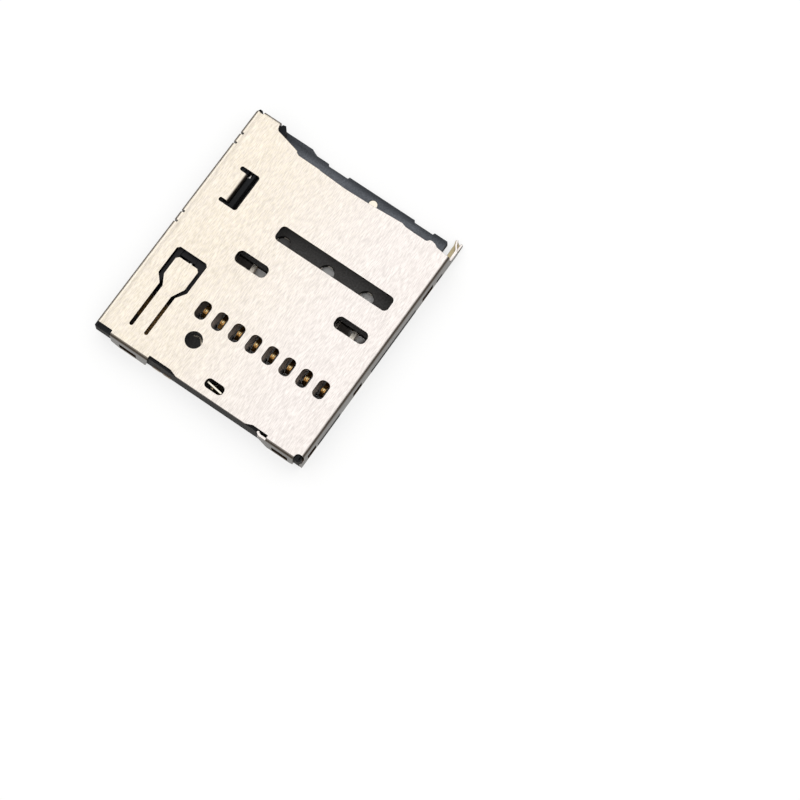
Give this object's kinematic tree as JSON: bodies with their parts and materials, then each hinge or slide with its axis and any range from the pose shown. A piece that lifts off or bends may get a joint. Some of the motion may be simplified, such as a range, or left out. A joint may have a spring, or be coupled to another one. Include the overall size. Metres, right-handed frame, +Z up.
{
  "type": "microsd card connector",
  "caption": "Push-push surface-mount socket for a small memory card: stamped shell, moulded tray, spring contacts, sliding ejector with heart cam and coil spring.",
  "frame": {"origin": "middle of the footprint, on the board plane that the solder feet stand on", "axes": "+X from the ejector's side towards the plain side wall, +Y out of the card mouth, +Z up from the board"},
  "size_m": [0.0134, 0.0154, 0.0015],
  "materials": {
    "shell_steel": "bright stamped stainless sheet with fine grain",
    "housing_plastic": "moulded black liquid-crystal plastic",
    "plate_metal": "stamped copper alloy, nickel plated with gold bands",
    "contact_metal": "stamped copper alloy, nickel plated with gold ends",
    "gold_plate": "gold flash over nickel",
    "slider_plastic": "moulded black plastic",
    "spring_wire": "drawn stainless wire"
  },
  "bodies": {
    "root": {"cover_shell": "shell_steel", "housing": "housing_plastic", "slider_base_plate": "plate_metal", "floor_plate": "plate_metal", "ground_plate": "gold_plate", "switch_leaf": "gold_plate", "switch_terminal": "gold_plate", "ground_terminal": "gold_plate", "contact_1": "contact_metal", "contact_2": "contact_metal", "contact_3": "contact_metal", "contact_4": "contact_metal", "contact_5": "contact_metal", "contact_6": "contact_metal", "contact_7": "contact_metal", "contact_8": "contact_metal", "eject_spring": "spring_wire"},
    "slider": {"slider": "slider_plastic"},
    "cam_pin": {"cam_pin": "spring_wire"}
  },
  "joints": [
    {"name": "slider_travel", "type": "slide", "parent": "root", "child": "slider", "axis": [0, -1, 0], "range_m": [0, 0.0028], "stiffness_N_per_m": 150, "springref_m": -0.002, "deforming": ["eject_spring"]},
    {"name": "cam_pin_swing", "type": "hinge", "parent": "root", "child": "cam_pin", "pos_m": [-0.00484, 0.00444, 0.00088], "axis": [0, 0, -1], "range_deg": [0, 4.8]}
  ]
}
